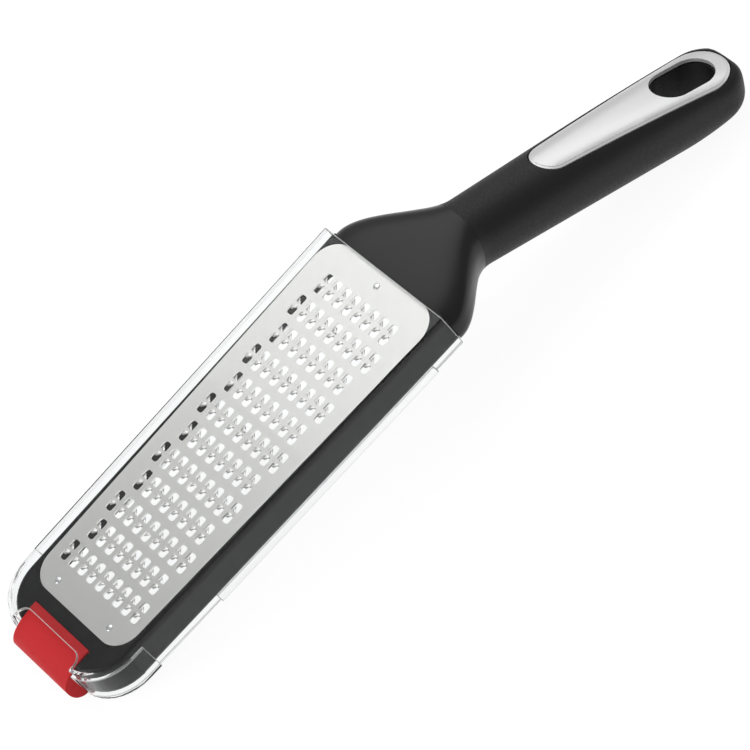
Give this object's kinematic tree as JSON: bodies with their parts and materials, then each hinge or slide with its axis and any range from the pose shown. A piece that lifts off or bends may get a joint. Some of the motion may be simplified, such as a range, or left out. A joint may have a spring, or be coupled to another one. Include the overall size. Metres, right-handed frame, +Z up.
{
  "type": "hand grater",
  "caption": "Flat hand grater with a toothed steel plate in a black plastic frame, a bent grip with a hanging hole, a red rubber foot and a clear slide-on cover.",
  "frame": {"origin": "middle of the tool's footprint, on the surface that it rests on", "axes": "+X along the tool from foot to handle, +Z up out of the teeth, with the tool lying on its foot and its handle's end"},
  "size_m": [0.3016, 0.0658, 0.0427],
  "materials": {
    "steel": "satin",
    "rivet_steel": "bright",
    "frame_plastic": "satin",
    "grip_plastic": "soft touch, fine grain",
    "inlay_silver": "silver lacquer, satin",
    "foot_rubber": "matt",
    "clear_plastic": "clear, polished"
  },
  "bodies": {
    "grater": {"frame": "frame_plastic", "handle_grip": "grip_plastic", "handle_inlay": "inlay_silver", "grater_plate": "steel", "plate_rivet_front_left": "rivet_steel", "plate_rivet_front_right": "rivet_steel", "plate_rivet_rear": "rivet_steel", "foot": "foot_rubber"},
    "cover": {"cover": "clear_plastic"}
  },
  "joints": [
    {"name": "cover_slide", "type": "slide", "parent": "grater", "child": "cover", "axis": [-0.9855, 0, -0.1697], "range_m": [0, 0.165]}
  ]
}
